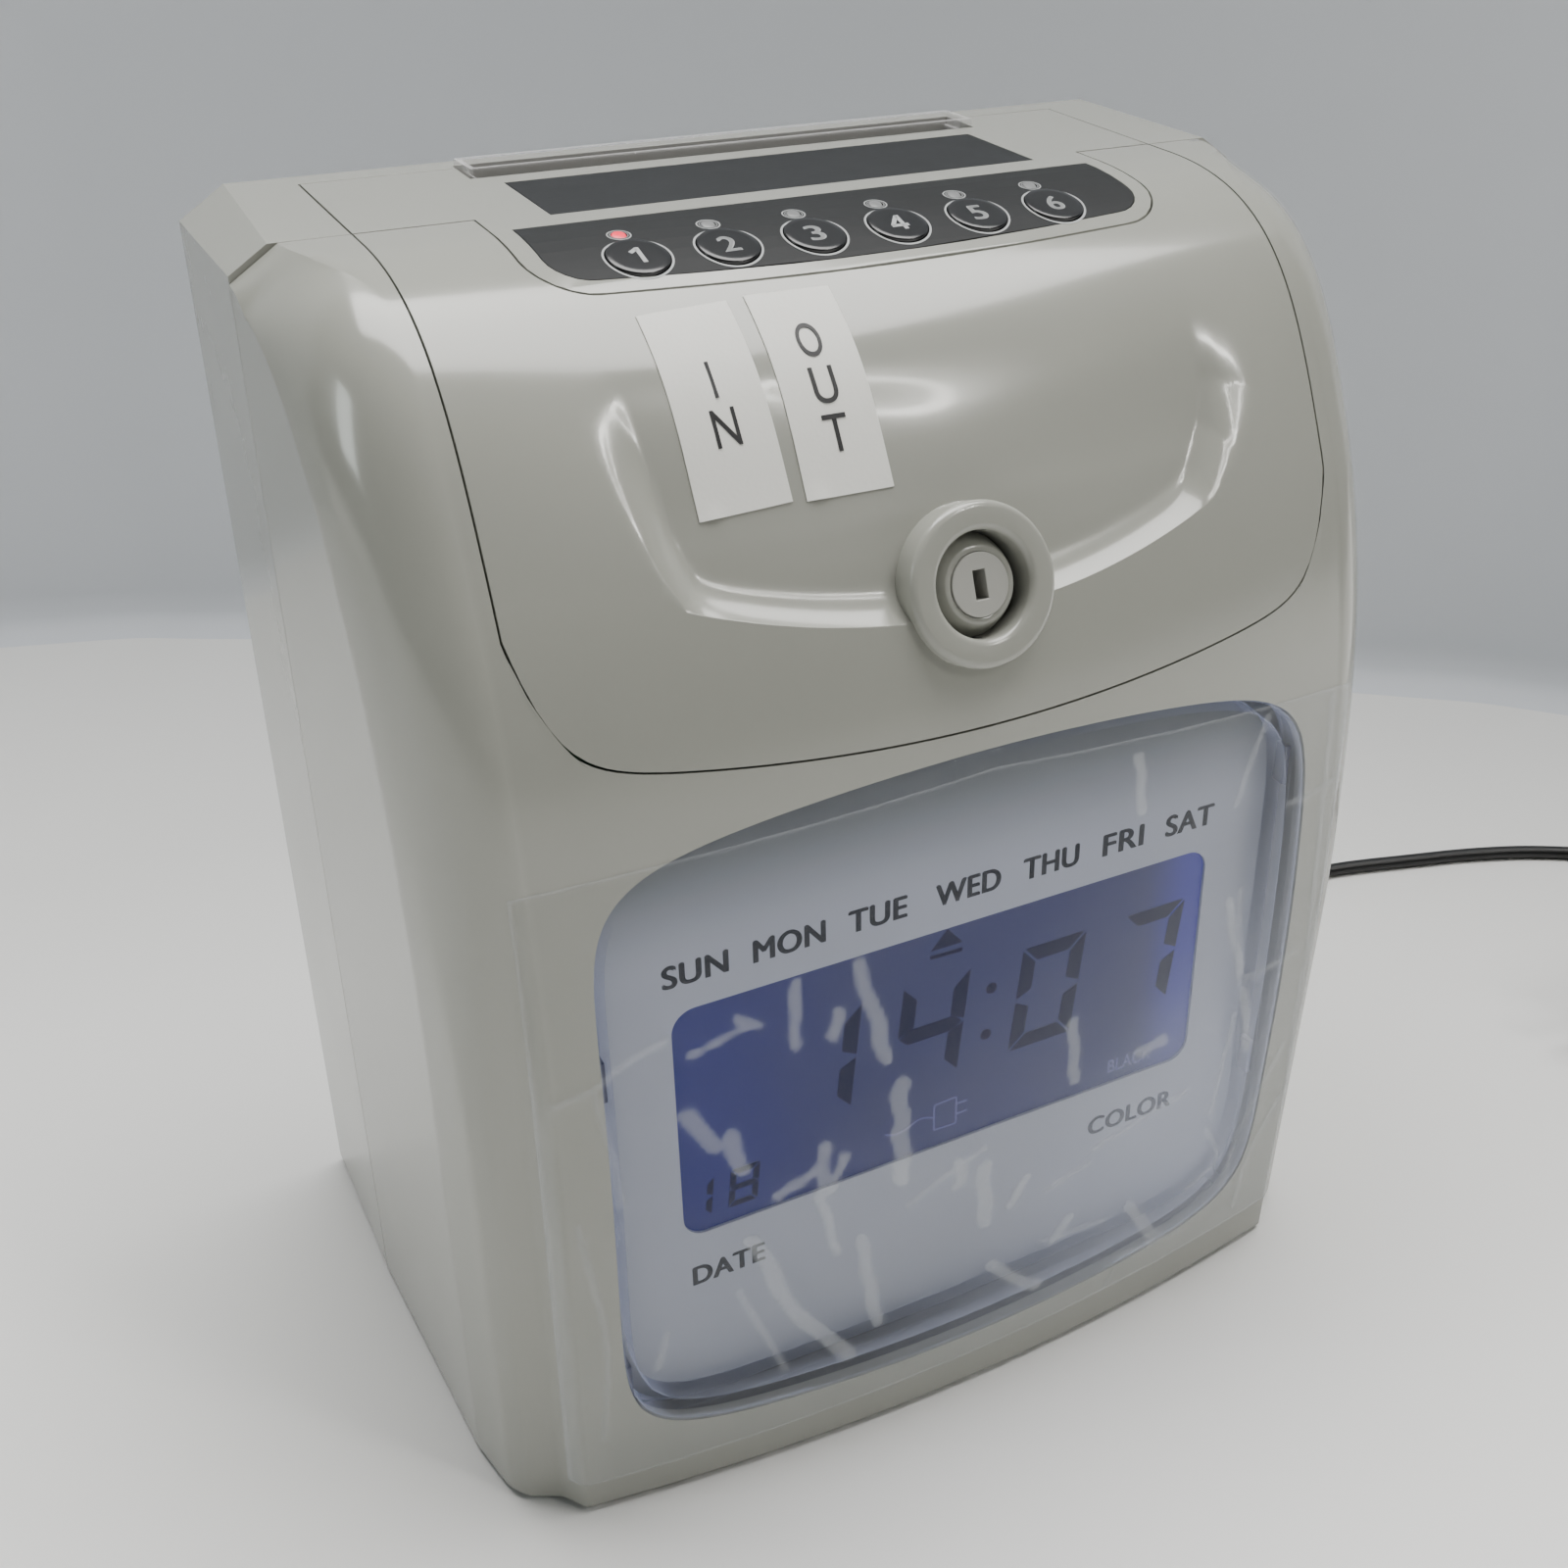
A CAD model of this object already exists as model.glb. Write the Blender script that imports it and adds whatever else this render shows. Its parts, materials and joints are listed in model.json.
"""Looks of an electronic time clock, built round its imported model.

Lengths here are millimetres in the case's own frame: x to the viewer's right, d forward
from the back wall and z up. place() turns them into the model's metres.
"""
import json
import math

import bmesh
import bpy
import numpy as np
from mathutils import Matrix, Vector


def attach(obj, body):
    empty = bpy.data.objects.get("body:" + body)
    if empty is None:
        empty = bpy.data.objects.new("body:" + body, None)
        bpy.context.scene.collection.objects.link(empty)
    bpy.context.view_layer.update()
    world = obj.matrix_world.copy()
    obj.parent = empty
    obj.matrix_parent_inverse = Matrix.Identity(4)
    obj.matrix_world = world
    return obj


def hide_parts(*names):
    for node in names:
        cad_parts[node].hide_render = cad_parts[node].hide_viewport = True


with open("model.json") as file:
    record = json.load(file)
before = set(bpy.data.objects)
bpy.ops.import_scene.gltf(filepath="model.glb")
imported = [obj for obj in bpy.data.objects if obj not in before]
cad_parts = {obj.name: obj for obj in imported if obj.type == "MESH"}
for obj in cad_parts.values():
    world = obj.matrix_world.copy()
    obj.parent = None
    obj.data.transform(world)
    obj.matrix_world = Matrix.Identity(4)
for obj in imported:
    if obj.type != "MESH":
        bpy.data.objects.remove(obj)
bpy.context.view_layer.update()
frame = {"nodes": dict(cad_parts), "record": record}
BACK_Y = 54.425


def place(x, d, z):
    """Points of the case frame in the model's metres, as one array with three columns."""
    x, d, z = np.broadcast_arrays(x, d, z)
    return np.stack([x, BACK_Y - d, z], -1).reshape(-1, 3) / 1000


def rgb(red, green, blue):
    """A screen colour from 0 to 255 as a linear one."""
    share = np.array([red, green, blue]) / 255
    return tuple(np.where(share <= 0.04045, share / 12.92, ((share + 0.055) / 1.055) ** 2.4)) + (1.0,)


# ---- camera -------------------------------------------------------------------------

def aim_camera(azimuth=-27.17, elevation=31.34, roll=-0.20):
    """The camera's axes: back is away from the view, right is level, then both roll."""
    a, e, r = np.radians([azimuth, elevation, roll])
    back = np.array([np.sin(a) * np.cos(e), -np.cos(a) * np.cos(e), np.sin(e)])
    right = np.cross(-back, [0, 0, 1])
    right /= np.linalg.norm(right)
    down = np.cross(-back, right)
    across = np.cos(r) * right + np.sin(r) * down
    below = np.cos(r) * down - np.sin(r) * right
    turn = np.eye(4)
    turn[:3, 0], turn[:3, 1], turn[:3, 2] = across, -below, back
    turn[:3, 3] = [-0.12883, -0.230475, 0.25866]
    data = bpy.data.cameras.new("view")
    data.sensor_width, data.sensor_fit, data.lens = 36.0, "HORIZONTAL", 40.157
    data.clip_start, data.clip_end = 0.01, 20
    camera = bpy.data.objects.new("view", data)
    camera.matrix_world = Matrix(turn.tolist())
    bpy.context.scene.collection.objects.link(camera)
    bpy.context.scene.camera = camera


aim_camera()


# ---- mesh tools ---------------------------------------------------------------------

def grid_faces(rows, columns, wrap=False):
    """Quads between neighbouring rows and columns; wrap joins the last column to the first."""
    i, j = np.meshgrid(np.arange(rows - 1), np.arange(columns if wrap else columns - 1), indexing="ij")
    a, b = i * columns + j, i * columns + (j + 1) % columns
    return np.stack([a, b, b + columns, a + columns], -1).reshape(-1, 4)


def parted(quads):
    """Whole quads, and triangles from quads that have two corners in one place."""
    same = quads == np.roll(quads, -1, axis=1)
    count = same.sum(1)
    bent = quads[count == 1]
    order = (same[count == 1].argmax(1)[:, None] + 1 + np.arange(3)) % 4
    return [quads[count == 0], bent[np.arange(len(bent))[:, None], order]]


def piece(name, points, faces, material, body, nodes=(), slot=None, bevel=0.0, segments=2, sharp=35.0):
    """A piece from points in the case frame. Its doubles are merged and its faces turned
    outwards; a bevel rounds the edges that are sharper than the given angle."""
    mesh = bpy.data.meshes.new(name)
    faces = [f for group in faces for f in group.tolist()]
    mesh.from_pydata(place(points[:, 0], points[:, 1], points[:, 2]).tolist(), [], faces)
    work = bmesh.new()
    work.from_mesh(mesh)
    bmesh.ops.remove_doubles(work, verts=work.verts, dist=2e-6)
    bmesh.ops.recalc_face_normals(work, faces=work.faces)
    work.to_mesh(mesh)
    work.free()
    return dress(name, mesh, material, body, nodes, bevel, segments, sharp)


def dress(name, mesh, material, body, nodes=(), bevel=0.0, segments=2, sharp=35.0):
    """An object for a finished mesh, on its body, with its material and its rounded edges."""
    mesh.materials.clear()
    mesh.materials.append(material)
    mesh.shade_smooth()
    mesh.set_sharp_from_angle(angle=math.radians(sharp))
    thing = bpy.data.objects.new(name, mesh)
    bpy.context.scene.collection.objects.link(thing)
    if bevel:
        rounding = thing.modifiers.new("rounded edges", "BEVEL")
        rounding.width, rounding.segments = bevel / 1000, segments
        rounding.limit_method, rounding.angle_limit = "ANGLE", math.radians(sharp)
        rounding.harden_normals = True
    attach(thing, body)
    if nodes:
        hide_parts(*nodes)
    return thing


def polished(node, name, material, body, bevel=0.3, segments=2, sharp=30.0, flat=1.5):
    """A copy of a CAD node: its doubles merged, its flat areas made whole, its edges rounded."""
    work = bmesh.new()
    work.from_mesh(frame["nodes"][node].data)
    bmesh.ops.remove_doubles(work, verts=work.verts, dist=2e-6)
    bmesh.ops.dissolve_limit(work, angle_limit=math.radians(flat), verts=work.verts, edges=work.edges)
    mesh = bpy.data.meshes.new(name)
    work.to_mesh(mesh)
    work.free()
    return dress(name, mesh, material, body, (node,), bevel, segments, sharp)


def shell(patches):
    """A closed wall from pairs of alike grids, each (outer, inner, mask of its faces). Equal
    outer points are one point, and each open edge of the outer sheet gets a rim to the inner."""
    outer = np.vstack([o.reshape(-1, 3) for o, i, keep in patches])
    inner = np.vstack([i.reshape(-1, 3) for o, i, keep in patches])
    quads, start = [], 0
    for o, i, keep in patches:
        cells = grid_faces(*o.shape[:2]) + start
        quads.append(cells if keep is None else cells[keep.ravel()])
        start += o.shape[0] * o.shape[1]
    _, first, where = np.unique(np.round(outer * 200).astype(int), axis=0, return_index=True,
                                return_inverse=True)
    quads = where.ravel()[np.vstack(quads)]
    outer, inner = outer[first], inner[first]
    count = len(outer)
    a, b = quads.ravel(), np.roll(quads, -1, axis=1).ravel()
    a, b = a[a != b], b[a != b]
    alone = ~np.isin(a * count + b, b * count + a)
    a, b = a[alone], b[alone]
    rim = np.stack([b, a, a + count, b + count], -1)
    return np.vstack([outer, inner]), parted(quads) + parted(quads[:, ::-1] + count) + [rim]


def between(first, second, shares):
    """Points from one line to another of as many points, at the given shares of the way."""
    shares = np.asarray(shares)[:, None, None]
    return first[None] * (1 - shares) + second[None] * shares


def prism(outline, low, high):
    """A closed solid over an outline of two columns, between two levels, as points (a, b, level)."""
    n = len(outline)
    points = np.vstack([np.column_stack([outline, np.full(n, low)]),
                        np.column_stack([outline, np.full(n, high)])])
    ring = np.arange(n)
    sides = np.stack([ring, (ring + 1) % n, (ring + 1) % n + n, ring + n], -1)
    return points, [sides, ring[None, ::-1], ring[None] + n]


def lathe(profile, count=72, ring=False):
    """A profile of (radius, height) turned round an axis, as points (across, up, along). It
    starts and ends on the axis, or is a ring's section, whose end is joined to its start."""
    profile = np.asarray(profile, float)
    if ring:
        profile = np.vstack([profile, profile[:1]])
    angle = np.linspace(0, 2 * np.pi, count, endpoint=False)
    radius, height = profile[:, 0][:, None], profile[:, 1][:, None]
    points = np.stack([radius * np.cos(angle), radius * np.sin(angle), height + 0 * angle], -1)
    return points.reshape(-1, 3), [grid_faces(len(profile), count, wrap=True)]


def tube(path, radius, sides=12):
    """A tube along a path that is never upright, closed at both ends. Each ring stands square
    to the path: ring = point + r (cos a * side + sin a * up). Radius may vary along it."""
    path = np.asarray(path, float)
    run = np.gradient(path, axis=0)
    run /= np.linalg.norm(run, axis=1)[:, None]
    side = np.cross(run, [0, 0, 1])
    side /= np.linalg.norm(side, axis=1)[:, None]
    up = np.cross(side, run)
    angle = np.linspace(0, 2 * np.pi, sides, endpoint=False)[None, :, None]
    radius = np.broadcast_to(radius, len(path))[:, None, None]
    rings = path[:, None] + radius * (np.cos(angle) * side[:, None] + np.sin(angle) * up[:, None])
    last = (len(path) - 1) * sides
    ends = [np.arange(sides)[None, ::-1], np.arange(sides)[None] + last]
    return rings.reshape(-1, 3), [grid_faces(len(path), sides, wrap=True)] + ends


def joined(*parts):
    """Several sets of points and faces as one set."""
    points, faces, start = [], [], 0
    for p, groups in parts:
        points.append(p)
        faces += [g + start for g in groups]
        start += len(p)
    return np.vstack(points), faces


def smooth(t):
    """Rises from 0 to 1 as t does, level at both ends: 3 t^2 - 2 t^3."""
    t = np.clip(t, 0, 1)
    return t * t * (3 - 2 * t)


def through(points, per_gap):
    """A smooth line through points: each gap is the cubic whose end slopes run between neighbours."""
    p = np.vstack([2 * points[0] - points[1], points, 2 * points[-1] - points[-2]])
    u = np.linspace(0, 1, per_gap, endpoint=False)[None, :, None]
    a, b, c, e = p[:-3, None], p[1:-2, None], p[2:-1, None], p[3:, None]
    square, cube = 2 * a - 5 * b + 4 * c - e, 3 * b - a - 3 * c + e
    curve = 0.5 * (2 * b + (c - a) * u + square * u ** 2 + cube * u ** 3)
    return np.vstack([curve.reshape(-1, points.shape[1]), points[-1:]])


# ---- finishes -----------------------------------------------------------------------

def group(name, inputs, outputs):
    """An empty node group with named inputs (name, kind, value) and outputs (name, kind)."""
    tree = bpy.data.node_groups.new(name, "ShaderNodeTree")
    for label, kind, value in inputs:
        socket = tree.interface.new_socket(label, in_out="INPUT", socket_type="NodeSocket" + kind)
        socket.default_value = value
    for label, kind in outputs:
        tree.interface.new_socket(label, in_out="OUTPUT", socket_type="NodeSocket" + kind)
    return tree, tree.nodes.new("NodeGroupInput"), tree.nodes.new("NodeGroupOutput")


def node(tree, kind, links=(), **values):
    """A shader node with settings; links are (its socket, the socket that feeds it)."""
    made = tree.nodes.new("ShaderNode" + kind)
    for key, value in values.items():
        setattr(made, key, value)
    for socket, source in links:
        if hasattr(source, "is_output"):
            tree.links.new(source, made.inputs[socket])
        else:
            made.inputs[socket].default_value = source
    return made


def make_tone():
    """Tone: a colour made lighter and darker by soft cloudy noise."""
    tree, come, go = group("Tone", [("Place", "Vector", (0, 0, 0)), ("Colour", "Color", (1, 1, 1, 1)),
                                    ("Spread", "Float", 0.05), ("Scale", "Float", 30.0)],
                           [("Colour", "Color")])
    cloud = node(tree, "TexNoise",
                 [("Vector", come.outputs["Place"]), ("Scale", come.outputs["Scale"]), ("Detail", 3.0)])
    span = node(tree, "Math", [(0, cloud.outputs[0]), (1, 0.5)], operation="SUBTRACT")
    amount = node(tree, "Math", [(0, span.outputs[0]), (1, come.outputs["Spread"]), (2, 1.0)],
                  operation="MULTIPLY_ADD")
    shade = node(tree, "VectorMath", [(0, come.outputs["Colour"])], operation="SCALE")
    tree.links.new(amount.outputs[0], shade.inputs["Scale"])
    tree.links.new(shade.outputs[0], go.inputs["Colour"])
    return tree


def make_gloss():
    """Gloss: a roughness that varies in patches, as handling leaves it."""
    tree, come, go = group("Gloss", [("Place", "Vector", (0, 0, 0)), ("Roughness", "Float", 0.3),
                                     ("Spread", "Float", 0.1), ("Scale", "Float", 60.0)],
                           [("Roughness", "Float")])
    cloud = node(tree, "TexNoise",
                 [("Vector", come.outputs["Place"]), ("Scale", come.outputs["Scale"]), ("Detail", 5.0)])
    span = node(tree, "Math", [(0, cloud.outputs[0]), (1, 0.5)], operation="SUBTRACT")
    value = node(tree, "Math",
                 [(0, span.outputs[0]), (1, come.outputs["Spread"]), (2, come.outputs["Roughness"])],
                 operation="MULTIPLY_ADD", use_clamp=True)
    tree.links.new(value.outputs[0], go.inputs["Roughness"])
    return tree


def make_grain():
    """Grain: a bump from fine noise, for moulded and ground surfaces."""
    tree, come, go = group("Grain", [("Place", "Vector", (0, 0, 0)), ("Scale", "Float", 900.0),
                                     ("Strength", "Float", 0.1), ("Height", "Float", 0.00005)],
                           [("Normal", "Vector")])
    cloud = node(tree, "TexNoise",
                 [("Vector", come.outputs["Place"]), ("Scale", come.outputs["Scale"]), ("Detail", 2.0)])
    bump = node(tree, "Bump", [("Strength", come.outputs["Strength"]), ("Distance", come.outputs["Height"]),
                               ("Height", cloud.outputs[0])])
    tree.links.new(bump.outputs[0], go.inputs["Normal"])
    return tree


TONE, GLOSS, GRAIN = make_tone(), make_gloss(), make_grain()


class Finish:
    """One material: a Principled shader fed by the shared groups on Object coordinates."""

    def __init__(self, name, colour, rough, spread=0.06, tone=35.0, vary=0.08, patch=70.0, grain=None,
                 stretch=None, **plain):
        """Tone varies the colour, vary the roughness; plain holds the shader's other inputs."""
        self.material = bpy.data.materials.new(name)
        self.material.use_nodes = True
        self.tree = self.material.node_tree
        self.shader = self.tree.nodes["Principled BSDF"]
        self.place = node(self.tree, "TexCoord").outputs["Object"]
        if stretch:
            self.place = node(self.tree, "VectorMath", [(0, self.place), (1, stretch)],
                              operation="MULTIPLY").outputs[0]
        self.colour = self.use(TONE, Colour=colour, Spread=spread, Scale=tone).outputs["Colour"]
        roughness = self.use(GLOSS, Roughness=rough, Spread=vary, Scale=patch).outputs["Roughness"]
        if grain:
            scale, strength, height = grain
            bump = self.use(GRAIN, Scale=scale, Strength=strength, Height=height)
            self.tree.links.new(bump.outputs["Normal"], self.shader.inputs["Normal"])
        for label, value in plain.items():
            self.shader.inputs[label.replace("_", " ")].default_value = value
        self.feed("Base Color", self.colour)
        self.feed("Roughness", roughness)

    def use(self, tree, **values):
        """One of the shared groups, placed on this material's coordinates with its own values."""
        made = node(self.tree, "Group", node_tree=tree)
        self.tree.links.new(self.place, made.inputs["Place"])
        for label, value in values.items():
            made.inputs[label].default_value = value
        return made

    def mix(self, mask, first, second):
        """first where the mask is 0 and second where it is 1."""
        made = node(self.tree, "Mix", data_type="RGBA")
        for socket, source in ((0, mask), (6, first), (7, second)):
            if hasattr(source, "is_output"):
                self.tree.links.new(source, made.inputs[socket])
            else:
                made.inputs[socket].default_value = source
        return made.outputs[2]

    def feed(self, label, source):
        """Links a node's output to a socket of the shader."""
        self.tree.links.new(source, self.shader.inputs[label])


case_grey = Finish("case grey", rgb(152, 153, 145), 0.17, spread=0.05, tone=18, vary=0.10, patch=45,
                   grain=(700, 0.12, 0.00002), Coat_Weight=0.25, Coat_Roughness=0.06, IOR=1.5).material
core_grey = Finish("core grey", rgb(166, 166, 160), 0.24, spread=0.08, tone=120, vary=0.12,
                   grain=(1400, 0.2, 0.00002)).material
panel_black = Finish("panel black", rgb(24, 26, 27), 0.55, spread=0.10, vary=0.10, Specular_IOR_Level=0.22,
                     grain=(1500, 0.35, 0.00003)).material
key_black = Finish("key black", rgb(17, 18, 20), 0.22, spread=0.12, vary=0.10,
                   grain=(900, 0.15, 0.00002)).material
strip_black = Finish("strip black", rgb(27, 29, 31), 0.55, spread=0.10, vary=0.12, Specular_IOR_Level=0.22,
                     grain=(1300, 0.4, 0.00003)).material
print_grey = Finish("printed grey", rgb(165, 168, 168), 0.45, spread=0.10, tone=300).material
print_dark = Finish("printed dark", rgb(30, 33, 38), 0.55, spread=0.15, tone=300).material
black_plastic = Finish("black plastic", rgb(34, 34, 35), 0.5, spread=0.12, vary=0.15,
                       grain=(1600, 0.6, 0.00006)).material
cord_black = Finish("cord jacket", rgb(14, 14, 15), 0.42, spread=0.15, vary=0.12,
                    grain=(1100, 0.4, 0.00004)).material
adapter_black = Finish("adapter shell", rgb(30, 30, 31), 0.46, spread=0.12, vary=0.14,
                       grain=(1800, 0.7, 0.00006)).material
rubber = Finish("rubber", rgb(38, 38, 38), 0.8, spread=0.2, vary=0.1, grain=(1200, 0.8, 0.00008)).material
dark_plate = Finish("dark painted plate", rgb(88, 89, 91), 0.45, spread=0.1, vary=0.15,
                    grain=(900, 0.3, 0.00004)).material
board_green = Finish("board green", rgb(38, 92, 58), 0.35, spread=0.25, tone=140, vary=0.2, patch=180,
                     grain=(500, 0.3, 0.00005)).material
zinc = Finish("zinc plate", rgb(178, 180, 182), 0.32, spread=0.12, tone=60, vary=0.18, patch=120,
              grain=(700, 0.15, 0.00003), Metallic=1.0).material
steel = Finish("ground steel", rgb(200, 201, 203), 0.2, spread=0.08, tone=20, vary=0.12, patch=30,
               stretch=(8, 90, 90), grain=(60, 0.2, 0.00003), Metallic=1.0).material
motor_can = Finish("motor can", rgb(165, 167, 170), 0.28, spread=0.1, tone=20, vary=0.15, patch=25,
                   stretch=(60, 12, 12), grain=(50, 0.2, 0.00003), Metallic=1.0).material
brass = Finish("brass", rgb(201, 172, 108), 0.25, spread=0.15, tone=90, vary=0.15, Metallic=1.0).material
gear_white = Finish("gear white", rgb(224, 223, 212), 0.4, spread=0.06, tone=80, vary=0.12,
                    grain=(900, 0.3, 0.00003), Subsurface_Weight=0.1).material
head_metal = Finish("head metal", rgb(62, 62, 64), 0.4, spread=0.15, vary=0.15, grain=(900, 0.3, 0.00004),
                    Metallic=0.6).material
ribbon_cloth = Finish("inked ribbon", rgb(28, 27, 38), 0.75, spread=0.3, tone=400, stretch=(1, 1, 3),
                      grain=(900, 1.0, 0.00008)).material
battery_wrap = Finish("battery wrap", rgb(62, 132, 84), 0.28, spread=0.1, tone=60, vary=0.15,
                      grain=(300, 0.1, 0.00003)).material
diffuser = Finish("diffuser", rgb(225, 230, 240), 0.4, spread=0.04, tone=100,
                  Subsurface_Weight=0.2).material
label_white = Finish("label paper", rgb(226, 226, 220), 0.55, spread=0.05, tone=120, vary=0.1,
                     grain=(1500, 0.5, 0.00004)).material
ink_black = Finish("label ink", rgb(22, 22, 24), 0.5, spread=0.2, tone=400).material


def display_sheet_finish():
    """Pale printed sheet that darkens softly towards its upper edge."""
    made = Finish("display sheet", rgb(172, 177, 191), 0.5, spread=0.05, tone=40,
                  grain=(1500, 0.3, 0.00002))
    apart = node(made.tree, "SeparateXYZ", [(0, made.place)])
    shade = node(made.tree, "MapRange",
                 [("Value", apart.outputs[2]), ("From Min", 0.100), ("From Max", 0.122)],
                 interpolation_type="SMOOTHSTEP")
    made.feed("Base Color", made.mix(shade.outputs[0], made.colour, rgb(96, 101, 104)))
    return made.material


def lcd_finish():
    """Lit display: violet-blue, with a purer and brighter blue towards both ends."""
    made = Finish("lit display", rgb(52, 60, 128), 0.3, spread=0.08, tone=60, Specular_IOR_Level=0.2)
    apart = node(made.tree, "SeparateXYZ", [(0, made.place)])
    away = node(made.tree, "Math", [(0, apart.outputs[0]), (1, 0.0004)], operation="SUBTRACT")
    right = node(made.tree, "MapRange",
                 [("Value", away.outputs[0]), ("From Min", 0.036), ("From Max", 0.0505)],
                 interpolation_type="SMOOTHERSTEP")
    left = node(made.tree, "MapRange",
                [("Value", away.outputs[0]), ("From Min", -0.010), ("From Max", -0.052)],
                interpolation_type="SMOOTHERSTEP")
    low = node(made.tree, "MapRange",
               [("Value", apart.outputs[2]), ("From Min", 0.062), ("From Max", 0.047)],
               interpolation_type="SMOOTHSTEP")
    colour = made.mix(left.outputs[0], rgb(58, 64, 122), rgb(32, 44, 140))
    colour = made.mix(right.outputs[0], colour, rgb(46, 50, 190))
    soft = node(made.tree, "Math", [(0, low.outputs[0]), (1, 0.45)], operation="MULTIPLY")
    colour = made.mix(soft.outputs[0], colour, rgb(34, 40, 128))
    made.feed("Base Color", made.mix(0.8, colour, rgb(12, 14, 34)))
    made.feed("Emission Color", colour)
    made.shader.inputs["Emission Strength"].default_value = 0.3
    return made.material


def clear_finish(name, colour, rough, low, high, start, **plain):
    """A clear moulding: see-through face on, more solid and reflecting at a slant."""
    made = Finish(name, colour, rough, spread=0.04, tone=50, vary=0.04, **plain)
    slant = node(made.tree, "LayerWeight", [("Blend", 0.5)])
    cover = node(made.tree, "MapRange",
                 [("Value", slant.outputs["Facing"]), ("From Min", start), ("To Min", low),
                  ("To Max", high)])
    made.feed("Alpha", cover.outputs[0])
    return made


display_sheet = display_sheet_finish()
lcd_lit = lcd_finish()
window_clear = clear_finish("clear window", rgb(205, 212, 236), 0.04, 0.015, 0.75, 0.42,
                            Specular_IOR_Level=0.5, Emission_Color=rgb(176, 186, 232),
                            Emission_Strength=0.22).material
guide_clear = clear_finish("clear guide", rgb(236, 234, 234), 0.16, 0.10, 0.6, 0.35,
                           Specular_IOR_Level=0.9).material
clip_dark = Finish("clip shade", rgb(52, 58, 92), 0.3, spread=0.1, tone=200).material
lcd_ink = Finish("display figures", rgb(20, 21, 40), 0.7, spread=0.08, tone=200, Specular_IOR_Level=0.1,
                 Emission_Color=rgb(40, 43, 84), Emission_Strength=0.25).material
lcd_faint = Finish("display faint marks", rgb(56, 60, 112), 0.4, spread=0.08, tone=200,
                   Emission_Color=rgb(56, 60, 118), Emission_Strength=0.4).material


def film_finish():
    """Thin film: almost clear, whiter in its air pockets, along its creases and at a slant."""
    made = Finish("clear film", rgb(222, 226, 230), 0.12, spread=0.03, tone=60, vary=0.1, patch=90,
                  Specular_IOR_Level=0.45)
    haze = node(made.tree, "Attribute", attribute_name="haze")
    slant = node(made.tree, "LayerWeight", [("Blend", 0.5)])
    clear = node(made.tree, "MapRange",
                 [("Value", slant.outputs["Facing"]), ("From Min", 0.3), ("To Min", 0.01), ("To Max", 0.3)])
    cover = node(made.tree, "Math", [(0, haze.outputs["Fac"]), (1, 0.15), (2, clear.outputs[0])],
                 operation="MULTIPLY_ADD", use_clamp=True)
    made.feed("Alpha", cover.outputs[0])
    return made.material


film_clear = film_finish()
light_off = Finish("light off", rgb(122, 124, 124), 0.3, spread=0.1, tone=300).material
light_on = Finish("light on", rgb(200, 30, 50), 0.3, spread=0.05, Emission_Color=rgb(255, 40, 78),
                  Emission_Strength=1.1).material


# ---- the power lead -----------------------------------------------------------------

RUN = np.array([
    [61, -30, 19], [61, -37, 18.8], [61.5, -44, 17.2], [63.5, -50.5, 13.6], [67.5, -56, 9],
    [73.5, -59.5, 5.2], [81, -60.5, 2.8], [89, -59, 1.9], [96.5, -55, 1.7], [102.5, -48.5, 1.7],
    [106.5, -40.5, 1.7], [109, -31.5, 1.7], [111.5, -22.5, 1.7], [115, -13.5, 1.7], [120, -5.5, 1.7],
    [127, 0.5, 1.7], [135.5, 4.5, 1.7], [144.5, 7.5, 1.7], [153.5, 9.5, 1.7], [162.5, 11, 1.7],
    [171.5, 12.5, 1.7], [180, 14.5, 1.7], [188.5, 17, 1.7], [197, 19.5, 1.7], [205.5, 22, 1.7],
    [214, 25, 1.7], [222.5, 28.5, 1.7], [231, 33, 1.7], [239, 38, 1.7], [246.5, 43, 1.7], [253, 48, 1.7]])
LEAD, LEAD_Z, POINTS_A_TURN = 3.3, 1.7, 24
COIL_X, COIL_D, COIL_LAYERS, FIRST_ANGLE, LAST_ANGLE, PITCH = 250, 75, 4, -58, 90, LEAD + 0.48
COIL_TURNS = 12 + (LAST_ANGLE - FIRST_ANGLE) / 360
LAYER_TURNS = COIL_TURNS / COIL_LAYERS


def coil_line(t):
    """A flat spiral that runs in and out by turns and climbs one pitch where it turns back."""
    layer = np.minimum(COIL_LAYERS - 1, np.floor(t / LAYER_TURNS))
    along = t - layer * LAYER_TURNS
    outer = 5.5 * LEAD + PITCH * LAYER_TURNS / 2
    radius = outer - PITCH * np.where(layer % 2 == 0, along, LAYER_TURNS - along)
    climb = sum(smooth((t - i * LAYER_TURNS + 0.25) / 0.5) for i in range(1, COIL_LAYERS))
    angle = np.radians(FIRST_ANGLE + 360 * t)
    return np.stack([COIL_X + radius * np.cos(angle), COIL_D + radius * np.sin(angle),
                     LEAD_Z + PITCH * climb], -1)


def heading(angle):
    """The way round the coil's circle at an angle, as a unit step."""
    a = math.radians(angle)
    return np.array([-math.sin(a), math.cos(a), 0])


def power_lead():
    """The whole lead: the free run through its points, then the coil's spiral."""
    turns = coil_line(np.arange(round(COIL_TURNS * POINTS_A_TURN) + 1) / POINTS_A_TURN)
    start = coil_line(np.zeros(1)) - 4 * heading(FIRST_ANGLE)
    end = coil_line(np.array([COIL_TURNS])) + 15 * heading(LAST_ANGLE)
    path = np.vstack([through(np.vstack([RUN, start]), 4)[:-1], start, turns, end])
    lead = piece("power_lead", *tube(path, LEAD / 2, 14), cord_black, "case", ("cord_run", "cord_coil"),
                 "cord_black")
    return lead, path


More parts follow.
